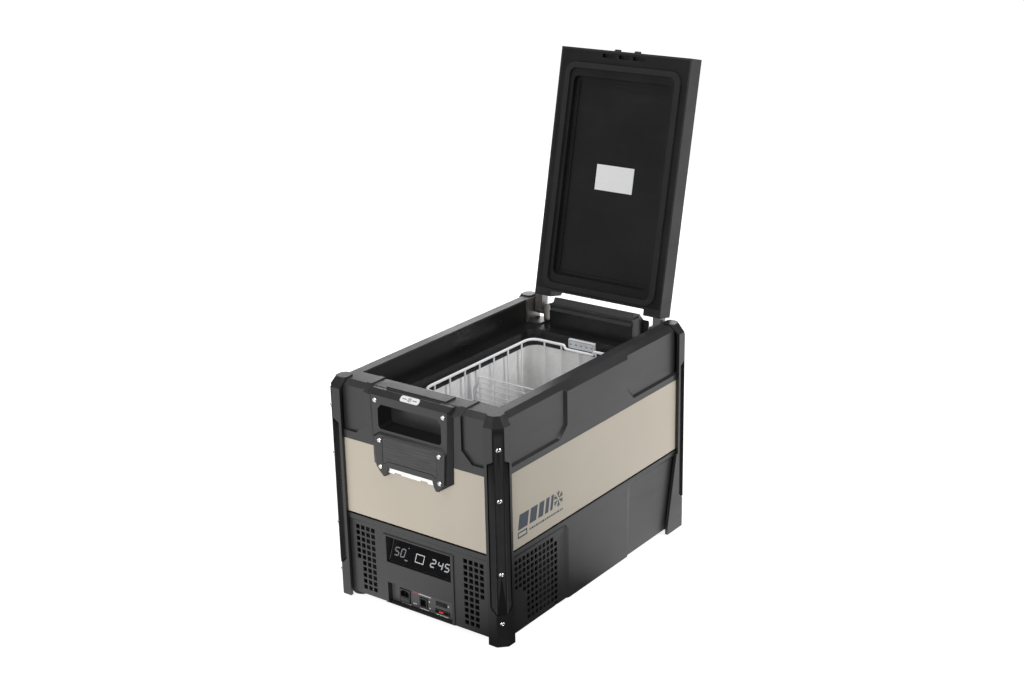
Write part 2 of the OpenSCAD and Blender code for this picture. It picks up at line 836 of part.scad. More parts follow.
module ac_inlet() color([0.03, 0.03, 0.03]) {
    difference() {
        block(-59.2, -32.8, socket_y - 2, socket_y + 22, 16.8, 46.2);
        along_y(socket_y - 3, socket_y + 14)
            polygon([[-56.5, 30], [-35.5, 30], [-35.5, 39], [-40, 43.5], [-52, 43.5], [-56.5, 39]]);
        block(-57.5, -34.5, socket_y - 3, socket_y + 18, 18.6, 27.4);
    }
    for (pin = [[-52, 34], [-46, 38.5], [-40, 34]])
        block(pin[0] - 1, pin[0] + 1, socket_y + 6, socket_y + 14, pin[1] - 2, pin[1] + 2);
}

module fuse_drawer() color([0.2, 0.2, 0.2]) {
    block(-57.1, -34.9, socket_y - 2.6, socket_y + 16, 19, 27);
}

module dc_inlet() color([0.03, 0.03, 0.03]) {
    difference() {
        block(-9.2, 10.2, socket_y - 2, socket_y + 18, 20.3, 40.7);
        block(-6.5, 7.5, socket_y - 3, socket_y + 12, 23, 38);
    }
    for (z = [27, 34]) rod_y(0.5, socket_y + 5, socket_y + 12, z, 1.6);
}

module fuse_holder() color([0.05, 0.05, 0.05])
difference() {
    block(28.3, 64.7, socket_y - 1.5, socket_y + 12, 19.3, 27.7);
    block(31, 62, socket_y - 3, socket_y + 8, 21.5, 25.5);
}

module blade_fuse() color([0.8, 0.05, 0.05])
    block(40, 50, socket_y - 2.5, socket_y + 8, 21.8, 25.2);

module port_cap() color([0.22, 0.22, 0.22]) {
    block(31.3, 57.7, socket_y - 1.2, socket_y + 5, 35.3, 43.7);
    block(52, 54, socket_y - 2.2, socket_y - 1.2, 36, 43);
}

// ---------- inside ----------

module interior_light() color([0.9, 0.92, 0.95])
along_x(-33, 33)
    polygon([[tub_rear - 7, 386], [tub_rear - 3, 383], [tub_rear, 383], [tub_rear, 405],
        [tub_rear - 5, 405], [tub_rear - 7, 402]]);

// Flat lattice: a panel of width w and height h, with bars t wide at a given pitch
module lattice(w, h, pitch_u, pitch_v, t) {
    nu = round(w / pitch_u);
    nv = round(h / pitch_v);
    for (i = [0 : nu]) translate([i * (w - t) / nu, 0]) square([t, h]);
    for (i = [0 : nv]) translate([0, i * (h - t) / nv]) square([w, t]);
}

// Plan of the basket with its corners cut, as a closed loop of bars
module basket_loop() {
    difference() {
        basket_plan(0);
        basket_plan(wire);
    }
}

module basket_plan(inset) {
    translate([0, (basket_front + basket_rear) / 2])
        polygon(cut_rect(basket_x - inset, (basket_rear - basket_front) / 2 - inset,
            basket_cut - 0.586 * inset));
}

module basket() color([0.93, 0.93, 0.94]) {
    side = basket_rear - basket_front - 2 * basket_cut;
    end = 2 * (basket_x - basket_cut);
    h = rail_z - basket_floor;
    both_sides() translate([basket_x - wire, basket_front + basket_cut, basket_floor])
        rotate([90, 0, 90]) linear_extrude(wire) lattice(side, h, 47, 108, wire);
    for (y = [basket_front, basket_rear - wire])
        translate([basket_cut - basket_x, y + wire, basket_floor]) rotate([90, 0, 0])
            linear_extrude(wire) lattice(end, h, 42, 108, wire);
    for (level = [basket_floor, basket_floor + 108, basket_floor + 216, rail_z - wire])
        translate([0, 0, level]) linear_extrude(wire) basket_loop();
    translate([0, 0, basket_floor]) linear_extrude(wire) intersection() {
        basket_plan(0);
        translate([-basket_x, basket_front])
            lattice(2 * basket_x, basket_rear - basket_front, 42, 47, wire);
    }
}

module basket_divider() color([0.93, 0.93, 0.94])
translate([-basket_x + wire + 0.5, 26, basket_floor + wire + 0.3]) rotate([90, 0, 0])
    linear_extrude(wire) lattice(2 * (basket_x - wire) - 1, 320, 123, 32, wire);

// ---------- hinges and latch ----------

module hinge_brackets() color([0.65, 0.62, 0.6])
both_sides() difference() {
    union() {
        block(162, 165, 268, 316, ledge_z, 460);
        block(132, 135, 292, 316, ledge_z, 446);
        block(132, 165, 278, 316, ledge_z, ledge_z + 3);
    }
    rod_x(120, 170, hinge_y, hinge_z, hinge_r + 0.05);
}

module hinge_pins() color([0.75, 0.75, 0.75])
both_sides() rod_x(132, 165, hinge_y, hinge_z, hinge_r);

module hinge_arms() color([0.6, 0.58, 0.55])
opened() both_sides() difference() {
    union() {
        along_x(141, 159)
            polygon([[lid_rear, 416], [300, 420.5], [hinge_y, 422.4], [hinge_y, 443.4],
                [lid_rear, 438]]);
        rod_x(141, 159, hinge_y, hinge_z, 10.5);
    }
    rod_x(120, 170, hinge_y, hinge_z, hinge_r + 0.05);
}

module lid_shell() color([0.14, 0.14, 0.14])
opened() difference() {
    union() {
        difference() {
            hull() {
                block(-lid_x, lid_x, lid_front, lid_rear, lid_z0, lid_top - 7);
                block(-lid_x + 7, lid_x - 7, lid_front + 7, lid_rear - 7, lid_top - 7, lid_top);
            }
            block(-lid_notch_x, lid_notch_x, lid_rear - lid_notch, lid_rear + 1, lid_z0 - 1,
                lid_top + 1);
            block(-lid_x + wall, lid_x - wall, lid_front + wall, lid_rear - lid_notch - wall,
                lid_z0 - 1, lid_top - wall);
        }
        // Box that holds the latch
        block(-57, 57, lid_front + 1, lid_front + 34, lid_z0 + 12, lid_top - 1);
    }
    // Shallow panels pressed into the lid's top
    for (y = [lid_front + 62, lid_front + 224, lid_front + 386])
        round_block(-118, 118, y, y + 132, lid_top - 1.6, lid_top + 1, 14);
    // Seat of the latch paddle, and the bolt's tunnel
    block(-53, 53, lid_front - 1, lid_front + 28, lid_top - 10, lid_top + 1);
    block(latch_x0 - 0.5, latch_x1 + 0.5, lid_front - 1, lid_front + 29, 430.6, 441.4);
}

// Plan of the dished part of the lid's inner panel, in the closed position
module dish_plan(grow) {
    round_rect(-123 - grow, 123 + grow, lid_rear - 480 - grow, lid_rear - 48 + grow, 16 + grow);
}

module lid_inner_panel() color([0.1, 0.1, 0.1])
opened() {
    difference() {
        union() {
            block(-lid_x + wall, lid_x - wall, lid_front + wall, lid_rear - lid_notch - wall, lid_z0,
                lid_z0 + 3);
            translate([0, 0, lid_z0 + 2]) linear_extrude(15) dish_plan(0);
        }
        translate([0, 0, lid_z0 - 1]) linear_extrude(13) dish_plan(-3);
        translate([0, 0, lid_z0 + 11]) linear_extrude(4) dish_plan(-12);
        // Latch pockets near the free edge
        for (pocket = [[-55, -24], [-14, 12], [20, 49]])
            block(pocket[0], pocket[1], lid_rear - 527, lid_rear - 519, lid_z0 - 1, lid_z0 + 4);
    }
}

module lid_gasket() color([0.04, 0.04, 0.04])
opened() translate([0, 0, lid_z0 - 5.5]) linear_extrude(5.5) difference() {
    round_rect(-141, 141, lid_rear - 505, lid_rear - 20, 25);
    round_rect(-129, 129, lid_rear - 493, lid_rear - 32, 15);
}

module lid_foam() color([0.9, 0.85, 0.6])
opened() difference() {
    block(-lid_x + wall, lid_x - wall, lid_front + 34, lid_rear - lid_notch - wall, lid_z0 + 3,
        lid_top - wall);
    translate([0, 0, lid_z0]) linear_extrude(17) dish_plan(0);
}

module latch_paddle() color([0.1, 0.1, 0.1])
opened() {
    along_x(-52, 52)
        polygon([[lid_front + 0.5, lid_top - 4], [lid_front + 0.5, lid_top - 8],
            [lid_front + 6, lid_top - 4.5], [lid_front + 26, lid_top - 4.5],
            [lid_front + 26, lid_top - 0.5], [lid_front + 7, lid_top - 0.5]]);
    rod_x(-50, 50, lid_front + 24, paddle_z, 3);
}

// Sliding bolt with two hooks that stand out of the lid's front edge
module latch_bolt() color([0.15, 0.15, 0.15])
opened() {
    block(latch_x0, latch_x1, lid_front + 0.5, lid_front + 18, 431, 441);
    for (x = [latch_x0, latch_x1 - 12])
        along_x(x, x + 12)
            polygon([[lid_front - 4, 436], [lid_front, 431], [lid_front + 2, 431],
                [lid_front + 2, 441], [lid_front - 4, 441]]);
}

module strike_plate() color([0.7, 0.7, 0.7]) {
    block(latch_x0 - 5, latch_x1 + 5, well_front, well_front + 0.7, 436, rim_z - 8);
    block(latch_x0 - 1, latch_x1 + 1, well_front + 0.7, well_front + 3, 442, 445);
}

base_tray();
foot_pads();
lower_front_fascia();
lower_left_panel();
lower_right_panel();
lower_rear_panel();
band_front();
band_rear();
band_left();
band_right();
upper_shell();
well_liner();
tub();
evaporator();
insulation_foam();
post_front_right();
post_front_left();
post_rear_right();
post_rear_left();
guard_front_right();
guard_front_left();
guard_rear_right();
guard_rear_left();
guard_screws();
front_handle();
rear_handle();
handle_plates();
tie_bars();
handle_screws();
badge();
compressor();
compressor_feet();
condenser();
fan_shroud();
fan_rotor();
control_board();
refrigerant_pipes();
display_module();
display_window();
set_button();
socket_panel();
ac_inlet();
fuse_drawer();
dc_inlet();
fuse_holder();
blade_fuse();
port_cap();
interior_light();
basket();
basket_divider();
strike_plate();
hinge_brackets();
hinge_pins();
hinge_arms();
lid_shell();
lid_inner_panel();
lid_gasket();
lid_foam();
latch_paddle();
latch_bolt();
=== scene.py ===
import json
import math
import random

import bmesh
import bpy
from mathutils import Matrix, Vector


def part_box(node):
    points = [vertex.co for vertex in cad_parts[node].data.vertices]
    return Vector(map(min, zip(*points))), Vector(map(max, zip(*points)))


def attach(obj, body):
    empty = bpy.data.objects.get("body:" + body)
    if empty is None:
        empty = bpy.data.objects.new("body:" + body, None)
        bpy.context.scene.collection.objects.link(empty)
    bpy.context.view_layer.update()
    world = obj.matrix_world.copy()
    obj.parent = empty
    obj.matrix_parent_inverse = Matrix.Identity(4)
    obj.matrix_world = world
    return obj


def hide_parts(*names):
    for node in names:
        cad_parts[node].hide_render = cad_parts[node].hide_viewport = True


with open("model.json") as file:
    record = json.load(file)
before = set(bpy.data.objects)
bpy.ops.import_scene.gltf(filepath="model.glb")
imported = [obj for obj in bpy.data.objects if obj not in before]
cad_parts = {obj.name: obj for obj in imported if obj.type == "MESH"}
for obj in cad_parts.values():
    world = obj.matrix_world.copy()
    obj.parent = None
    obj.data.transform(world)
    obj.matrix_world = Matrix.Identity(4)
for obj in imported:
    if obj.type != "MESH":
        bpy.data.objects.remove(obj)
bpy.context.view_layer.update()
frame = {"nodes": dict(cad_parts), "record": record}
nodes = frame["nodes"]

MM = 0.001


# ---------- material graphs ----------

class Graph:
    """A material's node tree, with short ways to add and join nodes."""

    def __init__(self, name):
        self.material = bpy.data.materials.new(name)
        self.material.use_nodes = True
        self.tree = self.material.node_tree
        self.shader = self.tree.nodes["Principled BSDF"]
        self.coordinates = self.add("ShaderNodeTexCoord").outputs["Object"]

    def add(self, kind, **settings):
        node = self.tree.nodes.new(kind)
        for key, value in settings.items():
            setattr(node, key, value)
        return node

    def put(self, node, socket, value):
        """Sets a socket to a number or colour, or joins another node's output to it."""
        target = node.inputs[socket]
        if isinstance(value, bpy.types.NodeSocket):
            self.tree.links.new(value, target)
        else:
            target.default_value = value

    def stretched(self, scale):
        """The object's coordinates, scaled by a number for each axis."""
        mapping = self.add("ShaderNodeMapping")
        self.put(mapping, "Vector", self.coordinates)
        self.put(mapping, "Scale", scale)
        return mapping.outputs["Vector"]

    def noise(self, scale, detail=2.0, rough=0.5, vector=None):
        node = self.add("ShaderNodeTexNoise")
        self.put(node, "Vector", vector or self.coordinates)
        self.put(node, "Scale", scale)
        self.put(node, "Detail", detail)
        self.put(node, "Roughness", rough)
        return node.outputs["Fac"]

    def cells(self, scale, feature="F1"):
        node = self.add("ShaderNodeTexVoronoi", feature=feature)
        self.put(node, "Vector", self.coordinates)
        self.put(node, "Scale", scale)
        return node.outputs["Distance"]

    def spread(self, value, low, high, to_low, to_high):
        """Maps a value from one range to another, held at the ends."""
        node = self.add("ShaderNodeMapRange")
        self.put(node, "Value", value)
        for socket, number in zip(("From Min", "From Max", "To Min", "To Max"),
                                  (low, high, to_low, to_high)):
            self.put(node, socket, number)
        return node.outputs["Result"]

    def math(self, operation, a, b):
        node = self.add("ShaderNodeMath", operation=operation)
        self.put(node, 0, a)
        self.put(node, 1, b)
        return node.outputs[0]

    def mix(self, amount, a, b):
        """Mixes two colours."""
        node = self.add("ShaderNodeMix", data_type="RGBA")
        self.put(node, "Factor", amount)
        for index, value in ((6, a), (7, b)):
            if isinstance(value, bpy.types.NodeSocket):
                self.tree.links.new(value, node.inputs[index])
            else:
                node.inputs[index].default_value = (*value, 1.0)
        return node.outputs[2]

    def bump(self, height, distance, strength=1.0, under=None):
        node = self.add("ShaderNodeBump")
        self.put(node, "Height", height)
        self.put(node, "Distance", distance)
        self.put(node, "Strength", strength)
        if under is not None:
            self.put(node, "Normal", under)
        return node.outputs["Normal"]

    def finish(self, colour, roughness, normal=None, **constants):
        self.put(self.shader, "Base Color", colour)
        self.put(self.shader, "Roughness", roughness)
        if normal is not None:
            self.put(self.shader, "Normal", normal)
        for name, value in constants.items():
            self.shader.inputs[name.replace("_", " ")].default_value = value
        return self.material


def shade(colour, factor):
    """A colour made lighter or darker."""
    return tuple(min(1.0, c * factor) for c in colour)


def moulded(name, colour, rough=0.5, grain=1500, depth=0.00012, level=0.5):
    """Textured moulded plastic: a fine grain, cloudy sheen and faint handling marks."""
    g = Graph(name)
    cloud = g.noise(6.0, 4.0, 0.6)
    fleck = g.noise(grain, 2.0, 0.6)
    tint = g.mix(g.spread(cloud, 0.3, 0.7, 0.0, 1.0), shade(colour, 0.86), shade(colour, 1.16))
    tint = g.mix(g.spread(fleck, 0.45, 0.75, 0.0, 0.35), tint, shade(colour, 1.7))
    streak = g.noise(9.0, 5.0, 0.7, g.stretched((1.0, 1.0, 6.0)))
    base = g.spread(cloud, 0.3, 0.7, rough - 0.05, rough + 0.06)
    roughness = g.math("ADD", base, g.spread(streak, 0.5, 0.75, 0.0, 0.07))
    normal = g.bump(g.cells(grain * 0.7), depth, 0.35)
    normal = g.bump(fleck, depth, 0.5, normal)
    return g.finish(tint, roughness, normal, Specular_IOR_Level=level)


def pressed(name, colour, rough=0.45):
    """Plastic with a fine grain drawn across it."""
    g = Graph(name)
    lines = g.noise(60.0, 4.0, 0.65, g.stretched((0.3, 4.0, 8.0)))
    tint = g.mix(g.spread(lines, 0.35, 0.7, 0.0, 1.0), shade(colour, 0.4), shade(colour, 2.2))
    roughness = g.spread(lines, 0.3, 0.7, rough - 0.08, rough + 0.08)
    return g.finish(tint, roughness, g.bump(lines, 0.0004, 0.7), Specular_IOR_Level=0.5)


def painted(name, colour, rough=0.42):
    """Powder-painted sheet: orange-peel ripple and slight colour drift."""
    g = Graph(name)
    drift = g.noise(4.0, 4.0, 0.6)
    fleck = g.noise(2600, 1.0, 0.5)
    tint = g.mix(g.spread(drift, 0.3, 0.7, 0.0, 1.0), shade(colour, 0.96), shade(colour, 1.035))
    tint = g.mix(g.spread(fleck, 0.5, 0.8, 0.0, 0.2), tint, shade(colour, 0.8))
    brushed = g.noise(120.0, 3.0, 0.6, g.stretched((1.0, 1.0, 14.0)))
    roughness = g.spread(brushed, 0.3, 0.7, rough - 0.04, rough + 0.06)
    normal = g.bump(g.noise(900, 2.0, 0.5), 0.00005, 0.4)
    return g.finish(tint, roughness, normal, Specular_IOR_Level=0.5)


def metal(name, colour, rough=0.25, grain=400.0, stretch=(1.0, 12.0, 12.0)):
    """Brushed or turned metal with a drawn grain and small dull spots."""
    g = Graph(name)
    grainy = g.noise(grain, 3.0, 0.6, g.stretched(stretch))
    spots = g.noise(60.0, 4.0, 0.65)
    tint = g.mix(g.spread(spots, 0.35, 0.7, 0.0, 1.0), shade(colour, 0.82), shade(colour, 1.08))
    roughness = g.math("ADD", g.spread(grainy, 0.3, 0.7, rough - 0.06, rough + 0.1),
                       g.spread(spots, 0.5, 0.75, 0.0, 0.12))
    return g.finish(tint, roughness, g.bump(grainy, 0.00004, 0.5), Metallic=1.0)


def glazed(name, colour, rough=0.12, level=0.5, coat=0.0):
    """Smooth hard gloss with faint haze and fingerprints."""
    g = Graph(name)
    haze = g.noise(35.0, 5.0, 0.7)
    tint = g.mix(g.spread(haze, 0.35, 0.7, 0.0, 1.0), shade(colour, 0.92), shade(colour, 1.08))
    roughness = g.spread(haze, 0.35, 0.75, rough, rough + 0.12)
    ripple = g.bump(g.noise(220.0, 2.0, 0.5), 0.00003, 0.3)
    return g.finish(tint, roughness, ripple, Specular_IOR_Level=level, Coat_Weight=coat)


def rubber(name, colour, rough=0.75):
    """Matt rubber with dust in its pores."""
    g = Graph(name)
    pores = g.cells(1800.0)
    dust = g.noise(25.0, 5.0, 0.7)
    tint = g.mix(g.spread(dust, 0.45, 0.8, 0.0, 0.6), colour, shade(colour, 2.0))
    return g.finish(tint, g.spread(dust, 0.3, 0.8, rough - 0.05, rough + 0.1),
                    g.bump(pores, 0.0001, 0.5), Specular_IOR_Level=0.35)


def foam(name, colour):
    """Cut insulating foam with open cells."""
    g = Graph(name)
    pores = g.cells(420.0)
    tint = g.mix(g.spread(pores, 0.0, 0.6, 0.0, 1.0), shade(colour, 0.7), colour)
    return g.finish(tint, g.spread(pores, 0.0, 0.6, 0.95, 0.8), g.bump(pores, 0.0006, 0.8))


def printed(name, colour, rough=0.5):
    """Screen-printed ink, worn a little thin in spots."""
    g = Graph(name)
    wear = g.noise(900.0, 3.0, 0.6)
    tint = g.mix(g.spread(wear, 0.4, 0.75, 0.0, 0.5), colour, shade(colour, 0.7))
    return g.finish(tint, g.spread(wear, 0.3, 0.7, rough - 0.05, rough + 0.1),
                    g.bump(wear, 0.00002, 0.3), Specular_IOR_Level=0.3)


def lit(name, colour, strength):
    """A lit display segment, uneven across its width."""
    g = Graph(name)
    glow = g.noise(500.0, 2.0, 0.5)
    tint = g.mix(g.spread(glow, 0.3, 0.7, 0.0, 1.0), shade(colour, 0.85), colour)
    g.put(g.shader, "Emission Color", tint)
    g.put(g.shader, "Emission Strength", strength)
    return g.finish(tint, g.spread(glow, 0.3, 0.7, 0.3, 0.4))


MATERIALS = {
    "housing": moulded("housing_plastic", (0.024, 0.024, 0.025), 0.38),
    "post": moulded("post_plastic", (0.015, 0.015, 0.015), 0.34),
    "guard": moulded("guard_plastic", (0.006, 0.006, 0.006), 0.42),
    "band": painted("band_paint", (0.52, 0.465, 0.38)),
    "base": moulded("base_plastic", (0.012, 0.012, 0.012), 0.6),
    "rubber": rubber("foot_rubber", (0.012, 0.012, 0.012)),
    "liner": moulded("liner_plastic", (0.008, 0.008, 0.008), 0.3, grain=900, depth=0.00005),
    "tub": glazed("tub_plastic", (0.88, 0.88, 0.87), 0.3),
    "foam": foam("insulation", (0.03, 0.03, 0.03)),
    "bare_metal": metal("bare_metal", (0.72, 0.72, 0.73), 0.3),
    "screw": metal("screw_steel", (0.90, 0.88, 0.85), 0.22),
    "steel": metal("plated_steel", (0.30, 0.29, 0.28), 0.40),
    "badge": metal("badge_metal", (0.62, 0.63, 0.65), 0.3),
    "compressor": glazed("compressor_enamel", (0.012, 0.012, 0.013), 0.25),
    "board": glazed("circuit_lacquer", (0.02, 0.12, 0.05), 0.3),
    "copper": metal("copper_tube", (0.82, 0.42, 0.26), 0.28),
    "display": glazed("display_glass", (0.006, 0.006, 0.007), 0.06, coat=0.3),
    "socket": moulded("socket_plastic", (0.010, 0.010, 0.010), 0.45),
    "fuse": glazed("fuse_red", (0.75, 0.02, 0.02), 0.2),
    "lens": glazed("lens_plastic", (0.62, 0.64, 0.66), 0.25),
    "wire": painted("wire_coating", (0.86, 0.86, 0.89), 0.3),
    "lid": moulded("lid_plastic", (0.009, 0.009, 0.009), 0.5),
    "lid_inner": moulded("lid_inner_plastic", (0.007, 0.007, 0.007), 0.4, grain=1200, depth=0.00006,
                          level=0.3),
}
SOCKET_PLATE = moulded("socket_plate_plastic", (0.062, 0.062, 0.064), 0.5)
DRAWER = moulded("drawer_plastic", (0.030, 0.030, 0.031), 0.5)
PULLED = pressed("handle_plate_plastic", (0.030, 0.030, 0.031))
BRIGHT_BAR = metal("bright_bar_steel", (0.93, 0.92, 0.90), 0.3)
# Near-black finish used as painted shade: it replaces the bare metal of the condenser and evaporator
# fins so the view through the vents stays dark. It also colours the painted shadow strip on the
# display.
PAINTED_SHADE_BLACK = moulded("painted_shade_black", (0.008, 0.008, 0.009), 0.5)
WHITE_INK = printed("white_ink", (0.72, 0.72, 0.72))
RED_INK = printed("red_ink", (0.55, 0.06, 0.06))
SLATE_INK = printed("slate_ink", (0.075, 0.09, 0.115))
# Light diffuse finish. On the lid label it is real paper. On the metal badge it is a painted
# reflection that stands in for the bright studio mirrored in the metal.
LABEL_PAPER_AND_BADGE_REFLECTION = printed("label_paper_and_painted_badge_reflection", (0.80, 0.80, 0.81), 0.4)
LIT_WHITE = lit("lit_segment", (0.52, 0.56, 0.60), 0.12)
UNLIT_GREY = printed("unlit_segment", (0.28, 0.28, 0.29), 0.3)


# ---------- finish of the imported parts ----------

BEVELS = {"guard_screws": 0.25, "handle_screws": 0.25, "blade_fuse": 0.2, "refrigerant_pipes": 0.0,
          "ac_inlet": 0.25, "dc_inlet": 0.2, "set_button": 0.2, "display_window": 0.2,
          "hinge_arms": 0.25, "hinge_brackets": 0.25, "evaporator": 0.0, "basket": 0.0}


def round_edges(obj, width):
    """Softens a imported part's sharp edges as moulding or pressing would."""
    weld = obj.modifiers.new("join", "WELD")
    weld.merge_threshold = 0.00002
    if width:
        bevel = obj.modifiers.new("edges", "BEVEL")
        bevel.width = width * MM
        bevel.segments = 2
        bevel.limit_method = "ANGLE"
        bevel.angle_limit = math.radians(28)
        bevel.use_clamp_overlap = True
        bevel.miter_outer = "MITER_ARC"
        bevel.harden_normals = False
    normals = obj.modifiers.new("shading", "WEIGHTED_NORMAL")
    normals.keep_sharp = True
    normals.weight = 80


# The condenser and evaporator get near-black painted shade in place of their bare metal.
OWN_FINISH = {"condenser": PAINTED_SHADE_BLACK, "evaporator": PAINTED_SHADE_BLACK, "socket_panel": SOCKET_PLATE,
              "fuse_drawer": DRAWER, "handle_plates": PULLED, "tie_bars": BRIGHT_BAR,
              # The badge gets a light diffuse finish in place of its metal: a painted reflection.
              "strike_plate": BRIGHT_BAR, "badge": LABEL_PAPER_AND_BADGE_REFLECTION}

for part in frame["record"]["subparts"]:
    obj = nodes[part["node"]]
    obj.data.materials.clear()
    obj.data.materials.append(OWN_FINISH.get(part["node"], MATERIALS[part["material_slot"]]))
    for face in obj.data.polygons:
        face.use_smooth = True
    round_edges(obj, BEVELS.get(part["node"], 0.5))


# ---------- builders for the added pieces ----------

def settle(obj, body, material):
    """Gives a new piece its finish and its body."""
    obj.data.materials.append(material)
    bpy.context.scene.collection.objects.link(obj)
    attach(obj, body)
    return obj


def plane(origin, across, up):
    """A matrix that takes (across, up, out) to the frame."""
    x, y = Vector(across), Vector(up)
    axes = Matrix((x, y, x.cross(y))).transposed().to_4x4()
    return Matrix.Translation(origin) @ axes


def prisms(name, outlines, thick, place, body, material):
    """Flat shapes, in mm on a plane, raised by thick mm: printed marks, labels and segments."""
    bm = bmesh.new()
    for outline in outlines:
        low = [bm.verts.new(place @ Vector((u * MM, v * MM, 0.0))) for u, v in outline]
        high = [bm.verts.new(place @ Vector((u * MM, v * MM, thick * MM))) for u, v in outline]
        bm.faces.new(low[::-1])
        bm.faces.new(high)
        for i in range(len(low)):
            j = (i + 1) % len(low)
            bm.faces.new((low[i], low[j], high[j], high[i]))
    bmesh.ops.recalc_face_normals(bm, faces=bm.faces)
    mesh = bpy.data.meshes.new(name)
    bm.to_mesh(mesh)
    bm.free()
    return settle(bpy.data.objects.new(name, mesh), body, material)


def box_outline(u0, u1, v0, v1):
    return [(u0, v0), (u1, v0), (u1, v1), (u0, v1)]


def disc(u, v, radius, sides=20):
    turn = 2 * math.pi / sides
    return [(u + radius * math.cos(i * turn), v + radius * math.sin(i * turn)) for i in range(sides)]


def frame_outline(u0, u1, v0, v1, line):
    """The four mitred strokes of a rectangle's outline."""
    outer = box_outline(u0, u1, v0, v1)
    inner = box_outline(u0 + line, u1 - line, v0 + line, v1 - line)
    return [[outer[i], outer[(i + 1) % 4], inner[(i + 1) % 4], inner[i]] for i in range(4)]


def dashes(u0, u1, v0, v1, seed, shortest=2.0, longest=5.0, space=1.0):
    """A row of short bars that stands for a line of small print."""
    source = random.Random(seed)
    shapes = []
    u = u0
    while u < u1 - shortest / 2:
        end = min(u1, u + source.uniform(shortest, longest))
        shapes.append(box_outline(u, end, v0, v1))
        u = end + space
    return shapes


def snowflake(u, v, radius, line):
    """Six arms with a pair of barbs each."""
    shapes = []
    for i in range(6):
        turn = math.radians(60 * i + 30)
        along = (math.cos(turn), math.sin(turn))
        side = (-along[1], along[0])

        def at(a, b):
            return (u + along[0] * a + side[0] * b, v + along[1] * a + side[1] * b)

        half = line / 2
        start = line * 1.1
        root = 0.5 * radius
        tip = 0.3 * radius
        shapes.append([at(start, -half), at(radius, -half), at(radius, half), at(start, half)])
        for way in (1, -1):
            barb = [at(root, way * half * 1.05), at(root + line, way * half * 1.05),
                    at(root + tip + line, way * tip), at(root + tip, way * tip)]
            shapes.append(barb if way == 1 else barb[::-1])
    return shapes


SEGMENTS = {"0": "abcdef", "1": "bc", "2": "abged", "3": "abgcd", "4": "fgbc", "5": "afgcd",
            "6": "afgedc", "7": "abc", "8": "abcdefg", "9": "abcdfg"}


def digit(value, u, v, width, height, line, lean=0.1):
    """The bars that make up a value on a seven-segment digit."""
    gap = line * 0.18
    middle = height / 2
    half = line / 2

    def level(v0, v1):
        return [(line + gap, v0), (width - line - gap, v0),
                (width - line - gap + half, v1), (line + gap - half, v1)]

    def post(u0, v0, v1):
        return box_outline(u0, u0 + line, v0 + gap, v1 - gap)

    bars = {
        "a": level(height - line, height),
        "d": level(line, 0.0)[::-1],
        "g": box_outline(line + gap, width - line - gap, middle - half, middle + half),
        "f": post(0.0, middle, height - half),
        "b": post(width - line, middle, height - half),
        "e": post(0.0, half, middle),
        "c": post(width - line, half, middle),
    }
    return [[(u + a + lean * b, v + b) for a, b in bars[key]] for key in SEGMENTS[value]]


def rounded(points, radius, steps=6):
    """A path with its inner corners turned into curves."""
    path = [Vector(p) for p in points]
    out = [path[0]]
    for before, here, after in zip(path, path[1:], path[2:]):
        reach = min(radius, (here - before).length / 2, (after - here).length / 2)
        a = here + (before - here).normalized() * reach
        b = here + (after - here).normalized() * reach
        for i in range(steps + 1):
            t = i / steps
            out.append((1 - t) ** 2 * a + 2 * t * (1 - t) * here + t * t * b)
    out.append(path[-1])
    return out


def wires(name, runs, body, material):
    """Round bars through the given paths, in mm: each run is (path, radius, closed)."""
    curve = bpy.data.curves.new(name, "CURVE")
    curve.dimensions = "3D"
    curve.bevel_depth = MM
    curve.bevel_resolution = 4
    curve.use_fill_caps = True
    for path, radius, closed in runs:
        spline = curve.splines.new("POLY")
        spline.points.add(len(path) - 1)
        spline.use_cyclic_u = closed
        spline.use_smooth = True
        for point, place in zip(spline.points, path):
            point.co = (*(Vector(place) * MM), 1.0)
            point.radius = radius
    return settle(bpy.data.objects.new(name, curve), body, material)


def span(node):
    """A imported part's lowest and highest corners, in mm."""
    low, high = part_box(node)
    return [v / MM for v in low], [v / MM for v in high]


# ---------- basket ----------

# Radii and spacings of the wire, in mm
RAIL_R = 3.0
BAR_R = 2.0
RUNG_R = 1.4
RUNG_PITCH = 12.4
RAIL_CORNER = 26.0
BEND = 12.0
RAIL_DIP = 8.0
DIP_SPAN = (-38.0, 40.0)
SIDE_BARS = 7
END_BARS = 5
RING_LEVELS = (60.0, 140.0)


